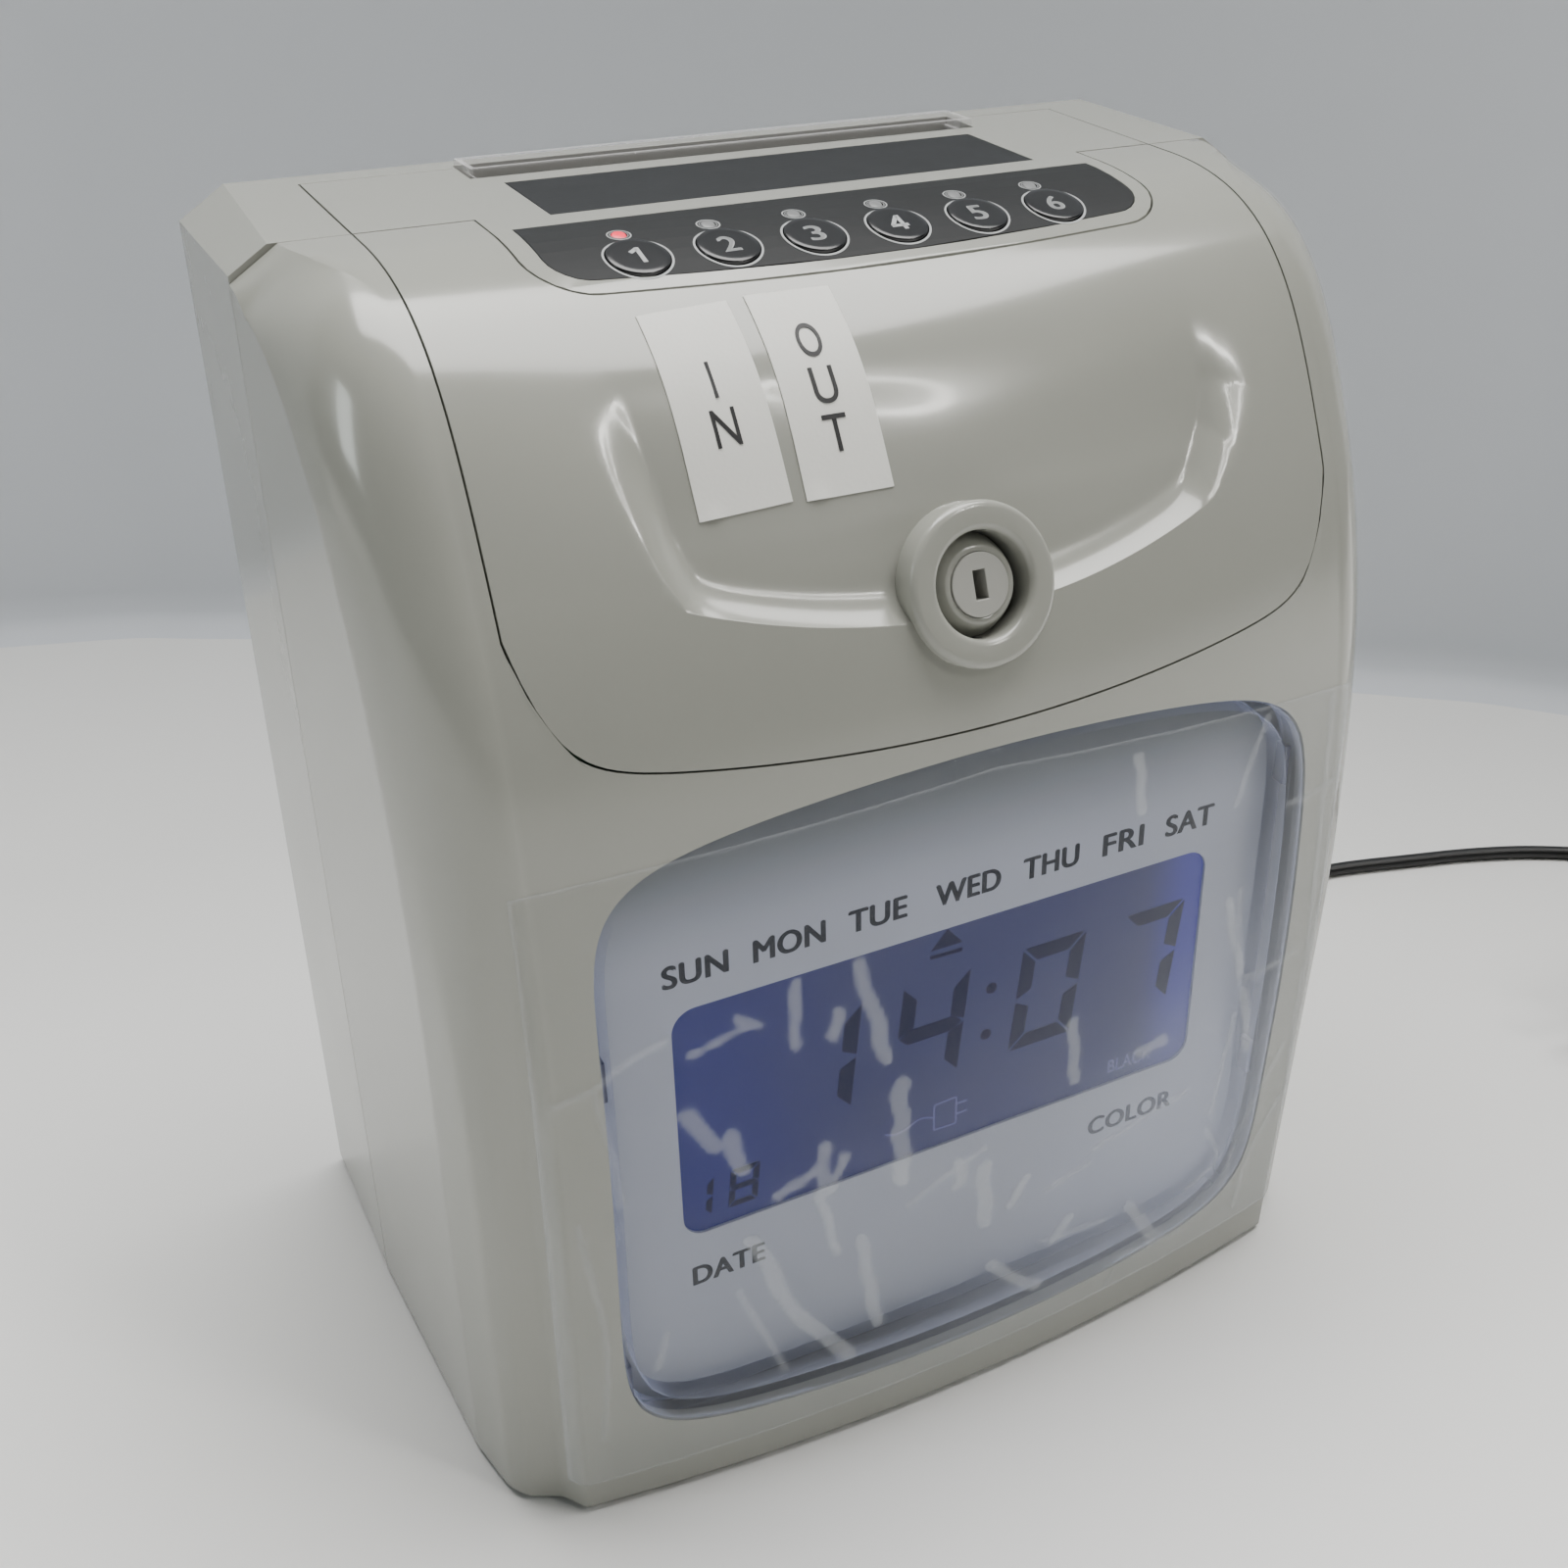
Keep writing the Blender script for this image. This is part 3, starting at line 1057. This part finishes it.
for name, (word, corners) in STICKERS.items():
    corners = np.array(corners)
    corners[:, 1] = s_of_z(corners[:, 1])
    wide, tall = corners[1, 0] - corners[0, 0], corners[2, 1] - corners[1, 1]
    a, b = np.meshgrid(np.linspace(0, 1, 15), np.linspace(0, 1, 29))
    curl = 0.25 * smooth((b - 0.93) / 0.07) * smooth((0.12 - np.abs(a - 0.15)) / 0.1)
    paper = shell([(label_place(corners, a, b, 0.16 + curl), label_place(corners, a, b, 0.04 + curl),
                    None)])
    piece(f"sticker_{name}", *paper, label_white, "lid", slot="sheet_pale", sharp=60)
    letters = []
    for k, letter in enumerate(word):
        points, faces = lettering(letter, 0.5 if letter == "I" else 3.6, 4.8)
        across = 0.5 + points[:, 0] / wide
        down = (tall / 2 + 6.2 * (k - (len(word) - 1) / 2) + 2.3 - points[:, 1]) / tall
        letters.append((label_place(corners, across, down, 0.14 + 0.14 * points[:, 2]), faces))
    piece(f"sticker_word_{name}", *joined(*letters), ink_black, "lid", slot="sheet_pale")


# ---- display ------------------------------------------------------------------------

MARK_LEVEL = -0.72
SHEET_D, SHEET_Z, SHEET_SLOPE = 95.7, 70.6, math.tan(math.radians(3.3))


def sheet_line(z, ahead=0.0):
    """Depth of the leaning display plane at a height, moved forward by ahead."""
    return SHEET_D + ahead - (z - SHEET_Z) * SHEET_SLOPE


def on_sheet(part, low, thick):
    """Flat marks (x, z, level) as thin solids on the display plane."""
    points, faces = part
    return np.column_stack([points[:, 0], sheet_line(points[:, 1], low + thick * points[:, 2]),
                            points[:, 1]]), faces


def window_lens():
    """A shallow box: its front continues the cover's curve, its walls run back to the sheet and
    a flange turns out behind the cover. Rings run from the middle of the front outwards, over
    the edge, round the flange and back along the inside."""
    count = (56, 64, 56, 64)
    out_edge, in_edge, thick = -0.15, -2.15, 2.0
    mid = np.array([0.0, WINDOW_MID])

    def front(share, grow, inset):
        """The outline drawn in towards the middle, on the cover's surface."""
        loop = mid + share * (window_loop(grow, count) - mid)
        return centre(loop[:, 0], s_of_z(loop[:, 1]), inset)

    def back(grow, ahead):
        """The outline on the display plane."""
        loop = window_loop(grow, count)
        return np.column_stack([loop[:, 0], sheet_line(loop[:, 1], ahead), loop[:, 1]])

    outer = [front(f, out_edge, 0.0) for f in (0, 0.12, 0.25, 0.37, 0.5, 0.62, 0.74, 0.85, 0.93, 0.975,
                                               0.993)]
    edge = front(1.0, out_edge, 0.0)
    foot, low = back(out_edge, 1.4), back(in_edge, 0.3)
    walls = [edge * (1 - f) + foot * f for f in (0.05, 0.3, 0.65)] + [foot]
    inside = [low * (1 - f) + front(1.0, in_edge, thick) * f for f in (0, 0.35, 0.7, 0.95)]
    inner = [front(f, in_edge, thick) for f in (0.99, 0.93, 0.8, 0.6, 0.4, 0.2, 0)]
    rings = np.stack(outer + walls + [back(2.4, 1.4), back(2.4, 0.3)] + inside + inner)
    faces = [grid_faces(len(rings), rings.shape[1], wrap=True)]
    piece("window_lens", rings.reshape(-1, 3), faces, window_clear, "case", ("display_window",),
          "clear_window", 0.18, 2, 40)


window_lens()


def window_clips():
    """Four small ribs on the window's side walls, two on each side."""
    ribs = []
    for x, z in ((-62.9, 88), (-62.9, 27), (62.6, 108), (62.6, 47)):
        outline = np.array([(-0.55, -3.6), (0.55, -3.6), (0.55, 3.6), (-0.55, 3.6)]) + [x, z]
        ribs.append(on_sheet(prism(outline, 0, 1), 1.6, 2.6))
    piece("window_clips", *joined(*ribs), clip_dark, "case", slot="clear_window", bevel=0.2)


window_clips()
polished("display_sheet", "display_face", display_sheet, "case", 0.1)
polished("lcd_panel", "lcd", lcd_lit, "case", 0.1)

DAY_Z, NOTE_Z, DAY_TALL, NOTE_TALL = 97.7, 38.2, 4.1, 3.9
DAYS = (("SUN", -45.6, 11.0), ("MON", -29.8, 12.5), ("TUE", -14.3, 10.6), ("WED", 2.3, 12.3),
        ("THU", 18.2, 11.0), ("FRI", 32.6, 8.4), ("SAT", 46.4, 10.2))
WORDS = [(text, x, DAY_Z, wide, DAY_TALL) for text, x, wide in DAYS]
WORDS += [("COLOR", 39.1, NOTE_Z, 18.8, NOTE_TALL), ("DATE", -42.5, NOTE_Z, 13.3, NOTE_TALL)]
words = [on_sheet(moved(bold(lettering(text, wide - 0.4, tall - 0.15, 0.0, 1.06), 0.2), x, z), -0.02, 0.07)
         for text, x, z, wide, tall in WORDS]
piece("display_words", *joined(*words), print_dark, "case", slot="sheet_pale")

SEGMENTS = {"0": "abcdef", "1": "bc", "4": "bcfg", "7": "abc", "8": "abcdefg"}


def digit(figure, x, z, wide, tall, stroke, slant, gap):
    """Seven-part figure: bars with slanted ends whose points lean with their height."""
    t, h, g = stroke, tall / 2, gap
    bars = {"a": [(g, tall), (wide - g, tall), (wide - t - g, tall - t), (t + g, tall - t)],
            "d": [(t + g, t), (wide - t - g, t), (wide - g, 0), (g, 0)],
            "g": [(g, h), (t * 0.6 + g, h + t / 2), (wide - t * 0.6 - g, h + t / 2), (wide - g, h),
                  (wide - t * 0.6 - g, h - t / 2), (t * 0.6 + g, h - t / 2)],
            "f": [(0, h + g), (0, tall - g), (t, tall - t - g), (t, h + t / 2 + g)],
            "e": [(0, g), (0, h - g), (t, h - t / 2 - g), (t, t + g)]}
    bars["b"] = [(wide - a, b) for a, b in bars["f"]][::-1]
    bars["c"] = [(wide - a, b) for a, b in bars["e"]][::-1]
    parts = []
    for key in SEGMENTS[figure]:
        bar = np.array(bars[key], float)
        parts.append(prism(np.column_stack([x + bar[:, 0] + slant * bar[:, 1] / tall, z + bar[:, 1]]), 0,
                           1))
    return joined(*parts)


TIME_Z, DATE_Z = 63.2, 51.2
# Width, height, bar, lean and gap of the display's figures.
BIG_FIGURE, SMALL_FIGURE = (12.7, 20.2, 2.8, 2.3, 0.35), (5.3, 7.6, 1.1, 0.8, 0.18)


def lcd_marks():
    """Time, date and pointer on the display, and a fainter plug and colour word."""
    big = [digit(f, x, TIME_Z, *BIG_FIGURE) for f,
           x in (("1", -31.8), ("4", -11.3), ("0", 11.8), ("7", 32.6))]
    small = [digit(f, x, DATE_Z, *SMALL_FIGURE) for f, x in (("1", -50.2), ("8", -41.9))]
    dots = [moved(disc(1.05), x, z) for x, z in ((7.9, 77.8), (7.1, 68.6))]
    arrow = [prism(np.array([(-1.0, 92.3), (1.9, 89.0), (-4.1, 89.0)]), 0, 1),
             prism(np.array([(-4.2, 88.1), (1.9, 87.9), (1.9, 87.2), (-4.2, 87.4)]), 0, 1)]
    piece("lcd_figures", *on_sheet(joined(*big, *small, *dots, *arrow), MARK_LEVEL, 0.08), lcd_ink, "case",
          slot="lcd_glass")
    wire = through(np.array([(-12.5, 54.7), (-10.6, 53.9), (-8.2, 54.3), (-5.6, 55.4), (-2.8, 54.6)]), 5)
    body = [(-2.8, 51.9), (-2.8, 57.2), (1.6, 57.4), (1.6, 51.7), (-2.8, 51.9)]
    lines = [stroke(wire, 0.35)] + [stroke([a, b], 0.35) for a, b in zip(body[:-1], body[1:])]
    lines += [stroke([(1.6, z), (3.9, z)], 0.4) for z in (55.9, 53.7)]
    lines.append(moved(lettering("BLACK", 9.6, 2.9, 0.01), 38.5, 50.4))
    piece("lcd_faint_marks", *on_sheet(joined(*lines), MARK_LEVEL, 0.06), lcd_faint, "case",
          slot="lcd_glass")


lcd_marks()


# ---- protective film ----------------------------------------------------------------

FILM_HALF, FILM_LIFT, FILM_THICK = 74, 0.20, 0.08
# Pockets of air under the film, as (x, z) of both ends and half their width.
POCKETS = np.array([
    (-34.5, 100.8, -35.0, 90.1, 0.9), (-28.0, 93.6, -28.5, 90.1, 1.1), (-24.5, 101.1, -22.5, 94.5, 1.1),
    (-22.5, 94.5, -20.0, 83.3, 1.3), (-43.5, 97.2, -40.5, 95.2, 0.8), (-51.0, 92.9, -42.0, 95.8, 0.6),
    (-17.5, 76.7, -16.5, 57.2, 1.5), (15.0, 77.6, 16.5, 65.2, 1.1), (-52.0, 82.4, -48.5, 75.6, 1.5),
    (-46.0, 76.2, -44.0, 69.5, 1.3), (-38.0, 62.1, -31.0, 65.0, 1.1), (-30.5, 69.0, -31.0, 59.5, 1.1),
    (-27.0, 66.0, -29.5, 59.5, 0.9), (-31.0, 58.4, -28.0, 45.9, 0.8), (-42.5, 53.9, -35.0, 33.3, 1.3),
    (-35.0, 33.3, -25.5, 20.3, 1.5), (-23.5, 46.3, -20.0, 25.4, 1.1), (-5.5, 55.9, -5.5, 51.5, 1.3),
    (-1.0, 53.0, 0.5, 40.5, 1.4), (8.0, 46.7, 5.5, 41.8, 0.9), (35.5, 65.6, 30.0, 65.2, 1.2),
    (47.5, 89.1, 52.5, 72.7, 0.9), (54.0, 68.8, 57.5, 54.5, 0.9), (26.5, 121.7, 27.0, 113.0, 0.9),
    (33.0, 28.3, 41.0, 15.1, 1.1), (15.5, 28.3, 18.5, 32.0, 1.1), (2.5, 28.5, 13.0, 18.2, 1.1)])
# Creases of the film, as lines of (x, z).
CREASES = [[(-72, 89), (-66, 90.7), (-60.5, 94.2), (-54.5, 96.5)], [(-15, 50.8), (-8.5, 54.4), (-1, 57.5)],
           [(13, 29.6), (27, 27.7)], [(32, 16), (47, 14.3)], [(22.5, 47.1), (32.5, 49), (43, 50.7)],
           [(50.5, 42.2), (51.5, 52.6), (52.5, 63.7)], [(54, 121), (50.5, 114.8), (47.5, 107.6)],
           [(50, 90.4), (51.5, 73)], [(66, 72), (61.5, 71.2), (52, 71.2)], [(30.5, 12), (29, 8)],
           [(69.5, 120), (69, 107.2), (69, 93.6), (70, 70)], [(74, 105.2), (67.5, 103.8), (60, 103.5)],
           [(50, 38.7), (54.5, 28.7), (47, 25)], [(13, 41.9), (21.5, 44)], [(-45, 43.4), (-37, 21.8)],
           [(-66, 90.7), (-64, 78), (-63, 68.5)], [(-57, 38.7), (-59, 31.1)],
           [(-70, 66), (-67, 40), (-68.5, 18)],
           [(72.5, 88), (70, 60), (72, 34)], [(68, 50), (60, 34), (57, 20)], [(73, 40), (64, 26), (62, 12)]]


def film_skin(x, z, lift):
    """Points above the front at any width: the flat part, and past its edge the shoulder."""
    s = s_of_z(z)
    flat = flat_half(at(s)[0])
    middle = centre(np.clip(x, -flat, flat), s, -lift)
    v = np.clip((np.abs(x) - flat) / (side_x(at(s)[0]) - flat), 0, 1)
    turned = shoulder(s, v, -lift) * np.stack([np.sign(x), 1 + 0 * x, 1 + 0 * x], -1)
    return np.where((np.abs(x) > flat)[..., None], turned, middle)


def away_from(x, z, a, b):
    """Distance of points (x, z) from the straight line between a and b."""
    run = b - a
    along = np.clip(((x - a[0]) * run[0] + (z - a[1]) * run[1]) / (run @ run), 0, 1)
    return np.hypot(x - a[0] - along * run[0], z - a[1] - along * run[1])


def film():
    """A thin sheet over the window, with creases that stand up and pale pockets of air. Its
    outline's upper edge slopes to both sides; rows run between the lower and the upper edge."""
    u, v = np.meshgrid(np.linspace(-1, 1, 212), np.linspace(0, 1, 168))
    x = FILM_HALF * u
    low = 8 + u
    high = 127 - np.where(u < 0, 4, 6) * np.abs(u)
    z = low + (high - low) * v
    haze, lift = np.zeros_like(x), np.full_like(x, FILM_LIFT)
    for ax, az, bx, bz, half in POCKETS:
        gap = away_from(x, z, np.array([ax, az]), np.array([bx, bz]))
        gap = gap + 0.25 * np.sin(1.3 * x + 0.9 * z) * half
        haze = np.maximum(haze, smooth((half - gap) / 0.6 + 0.5))
    lift = lift + 0.05 * haze
    ridge = np.zeros_like(x)
    for line in CREASES:
        line = through(np.array(line, float), 6)
        gap = np.min([away_from(x, z, a, b) for a, b in zip(line[:-1], line[1:])], axis=0)
        ridge = np.maximum(ridge, np.exp(-(gap / 0.55) ** 2))
    lift = lift + 0.10 * ridge + 0.02 * np.sin(0.31 * x + 0.2 * z) * np.sin(0.23 * z)
    edge = np.minimum(np.minimum(1 - np.abs(u), v), 1 - v)
    rim = smooth((0.006 - edge) / 0.006)
    points, faces = shell([(film_skin(x, z, lift), film_skin(x, z, lift - FILM_THICK), None)])
    sheet = piece("film_sheet", points, faces, film_clear, "case", ("protective_film",), "thin_film",
                  sharp=80)
    spots = np.empty(len(sheet.data.vertices) * 3)
    sheet.data.vertices.foreach_get("co", spots)
    spots = spots.reshape(-1, 3) * 1000
    values = np.clip(np.maximum(haze, 0.75 * ridge) + 0.5 * rim, 0, 1)
    across = np.interp(spots[:, 0], x[0], np.arange(x.shape[1])).round().astype(int)
    near_low, near_high = low[0, across], high[0, across]
    last = x.shape[0] - 1
    row = ((spots[:, 2] - near_low) / (near_high - near_low) * last).round().clip(0, last).astype(int)
    sheet.data.attributes.new("haze", "FLOAT", "POINT").data.foreach_set("value", values[row, across])
    return sheet


film()


# ---- everything else ----------------------------------------------------------------

SLOT_FINISHES = {"dark_plate": dark_plate, "foot_rubber": rubber, "black_plastic": black_plastic,
                 "circuit_board": board_green, "zinc_steel": zinc, "polished_steel": steel,
                 "backlight_white": diffuser, "roller_rubber": rubber, "gear_white": gear_white,
                 "brass_pinion": brass, "motor_can": motor_can, "head_metal": head_metal,
                 "cassette_plastic": black_plastic, "ribbon_fabric": ribbon_cloth,
                 "knob_white": gear_white, "battery_wrap": battery_wrap, "gloss_black": key_black,
                 "case_grey": case_grey, "light_pipe": light_off, "lock_grey": case_grey,
                 "core_grey": core_grey}
ROUNDING = {"rubber_feet": 0.4, "base_plate": 0.4, "card_chute": 0.3, "left_frame": 0.2,
            "right_frame": 0.2, "ribbon_cassette": 0.5, "carriage": 0.3, "print_head": 0.2,
            "feed_motor": 0.5, "carriage_motor": 0.5, "backup_battery": 0.5, "buzzer": 0.3,
            "dc_jack": 0.3, "feed_rollers": 0.3, "ribbon_knob": 0.2, "main_board": 0.08,
            "display_board": 0.08, "key_board": 0.08, "cover_screws": 0.15, "lock_nut": 0.15}
DONE = {"front_cover", "lid_cover", "lock_housing", "lock_core", "rear_cover", "top_plate", "card_guide",
        "dark_strip", "key_panel", "status_lights", "display_window", "display_sheet", "lcd_panel",
        "protective_film", "dc_plug", "power_adapter", "cord_run", "cord_coil"}
DONE |= {f"key_{i + 1}" for i in range(KEY_COUNT)}
BODY_OF = {part: body for body, parts in frame["record"]["behaviour"]["bodies"].items() for part in parts}
for part in frame["record"]["subparts"]:
    name, slot = part["node"], part["material_slot"]
    if name not in DONE:
        polished(name, f"{name}_finished", SLOT_FINISHES[slot], BODY_OF[name],
                 ROUNDING.get(name, 0.12))


# ---- stage --------------------------------------------------------------------------

def stage_piece(name, points, faces, material):
    """A piece of the surroundings, from points in metres."""
    mesh = bpy.data.meshes.new(name)
    mesh.from_pydata(points.tolist(), [], [f for group in faces for f in group.tolist()])
    mesh.materials.append(material)
    mesh.shade_smooth()
    thing = bpy.data.objects.new(name, mesh)
    bpy.context.scene.collection.objects.link(thing)


def one_sided(finish):
    """A wall that is seen only from its front, so that views from behind look through it."""
    tree = finish.tree
    out = next(n for n in tree.nodes if n.type == "OUTPUT_MATERIAL")
    clear, behind = node(tree, "BsdfTransparent"), node(tree, "NewGeometry")
    pick = node(tree, "MixShader",
                [(0, behind.outputs["Backfacing"]), (1, finish.shader.outputs[0]), (2, clear.outputs[0])])
    tree.links.new(pick.outputs[0], out.inputs["Surface"])
    return finish.material


desk_white = Finish("desk white", rgb(230, 230, 228), 0.55, spread=0.04, tone=5, patch=9).material
wall_pale = one_sided(Finish("wall pale", rgb(212, 216, 222), 0.7, spread=0.03, tone=4, patch=6))
corners = np.array([(-3, -2.5, 0), (3, -2.5, 0), (3, 3, 0), (-3, 3, 0)], float)
stage_piece("floor", corners, [np.array([[0, 1, 2, 3]])], desk_white)
# The wall's foot, seen from above, and its section: a small cove and then straight up.
foot = through(np.array([(-0.9, 0.484), (-0.4, 0.426), (-0.122, 0.35), (-0.049, 0.321),
                         (0.105, 0.234), (0.259, 0.123), (0.306, 0.083), (0.42, -0.04)]), 10)
cove = np.array([(-0.012, 0.0), (-0.005, 0.0015), (-0.0015, 0.005), (0, 0.012), (0, 0.62)])
run = np.gradient(foot, axis=0)
run /= np.linalg.norm(run, axis=1)[:, None]
back = np.column_stack([-run[:, 1], run[:, 0]])
height = np.broadcast_to(cove[:, 1, None, None], (len(cove), len(foot), 1))
wall = np.concatenate([foot[None] + cove[:, :1, None] * back[None], height], -1)
stage_piece("wall", wall.reshape(-1, 3), [grid_faces(len(cove), len(foot))], wall_pale)

ring_glow = Finish("ring lamp", rgb(255, 253, 248), 0.5, Emission_Color=rgb(255, 253, 248),
                   Emission_Strength=55).material
RING_SIZE, RING_AWAY = (0.14, 0.34), 2.2
points, faces = lathe([[0.76, 0], [1.0, 0], [1.0, 0.01], [0.76, 0.01]], 64, True)
aim = np.array([0.45, -0.59, 0.67])
aim /= np.linalg.norm(aim)
level = np.cross([0, 0, 1], aim)
level /= np.linalg.norm(level)
ring_at = np.array([-0.012, -0.024, 0.178]) + RING_AWAY * aim
lamp_points = (ring_at + RING_SIZE[0] * points[:, :1] * level
               + RING_SIZE[1] * points[:, 1:2] * np.cross(aim, level) + points[:, 2:] * aim)
stage_piece("ring_lamp", lamp_points, faces, ring_glow)


def light(name, place_at, aim, size, power, colour, size_y=None):
    """A rectangular lamp at a place, turned towards a point."""
    data = bpy.data.lights.new(name, "AREA")
    data.shape, data.size, data.size_y = "RECTANGLE", size, size_y or size
    data.energy, data.color = power, colour
    lamp = bpy.data.objects.new(name, data)
    lamp.location = place_at
    lamp.rotation_euler = (Vector(aim) - Vector(place_at)).to_track_quat("-Z", "Y").to_euler()
    bpy.context.scene.collection.objects.link(lamp)


light("ceiling light", (0.6, 0.7, 1.8), (0.1, 0.1, 0), 2.2, 170, (1, 0.985, 0.97))
light("side light", (-1.95, 0.38, 0.80), (-0.08, 0, 0.17), 0.3, 6, (0.93, 1, 0.97), size_y=0.8)
world = bpy.data.worlds.new("room")
world.use_nodes = True
world.node_tree.nodes["Background"].inputs["Color"].default_value = (0.85, 0.9, 0.95, 1)
world.node_tree.nodes["Background"].inputs["Strength"].default_value = 0.06
bpy.context.scene.world = world
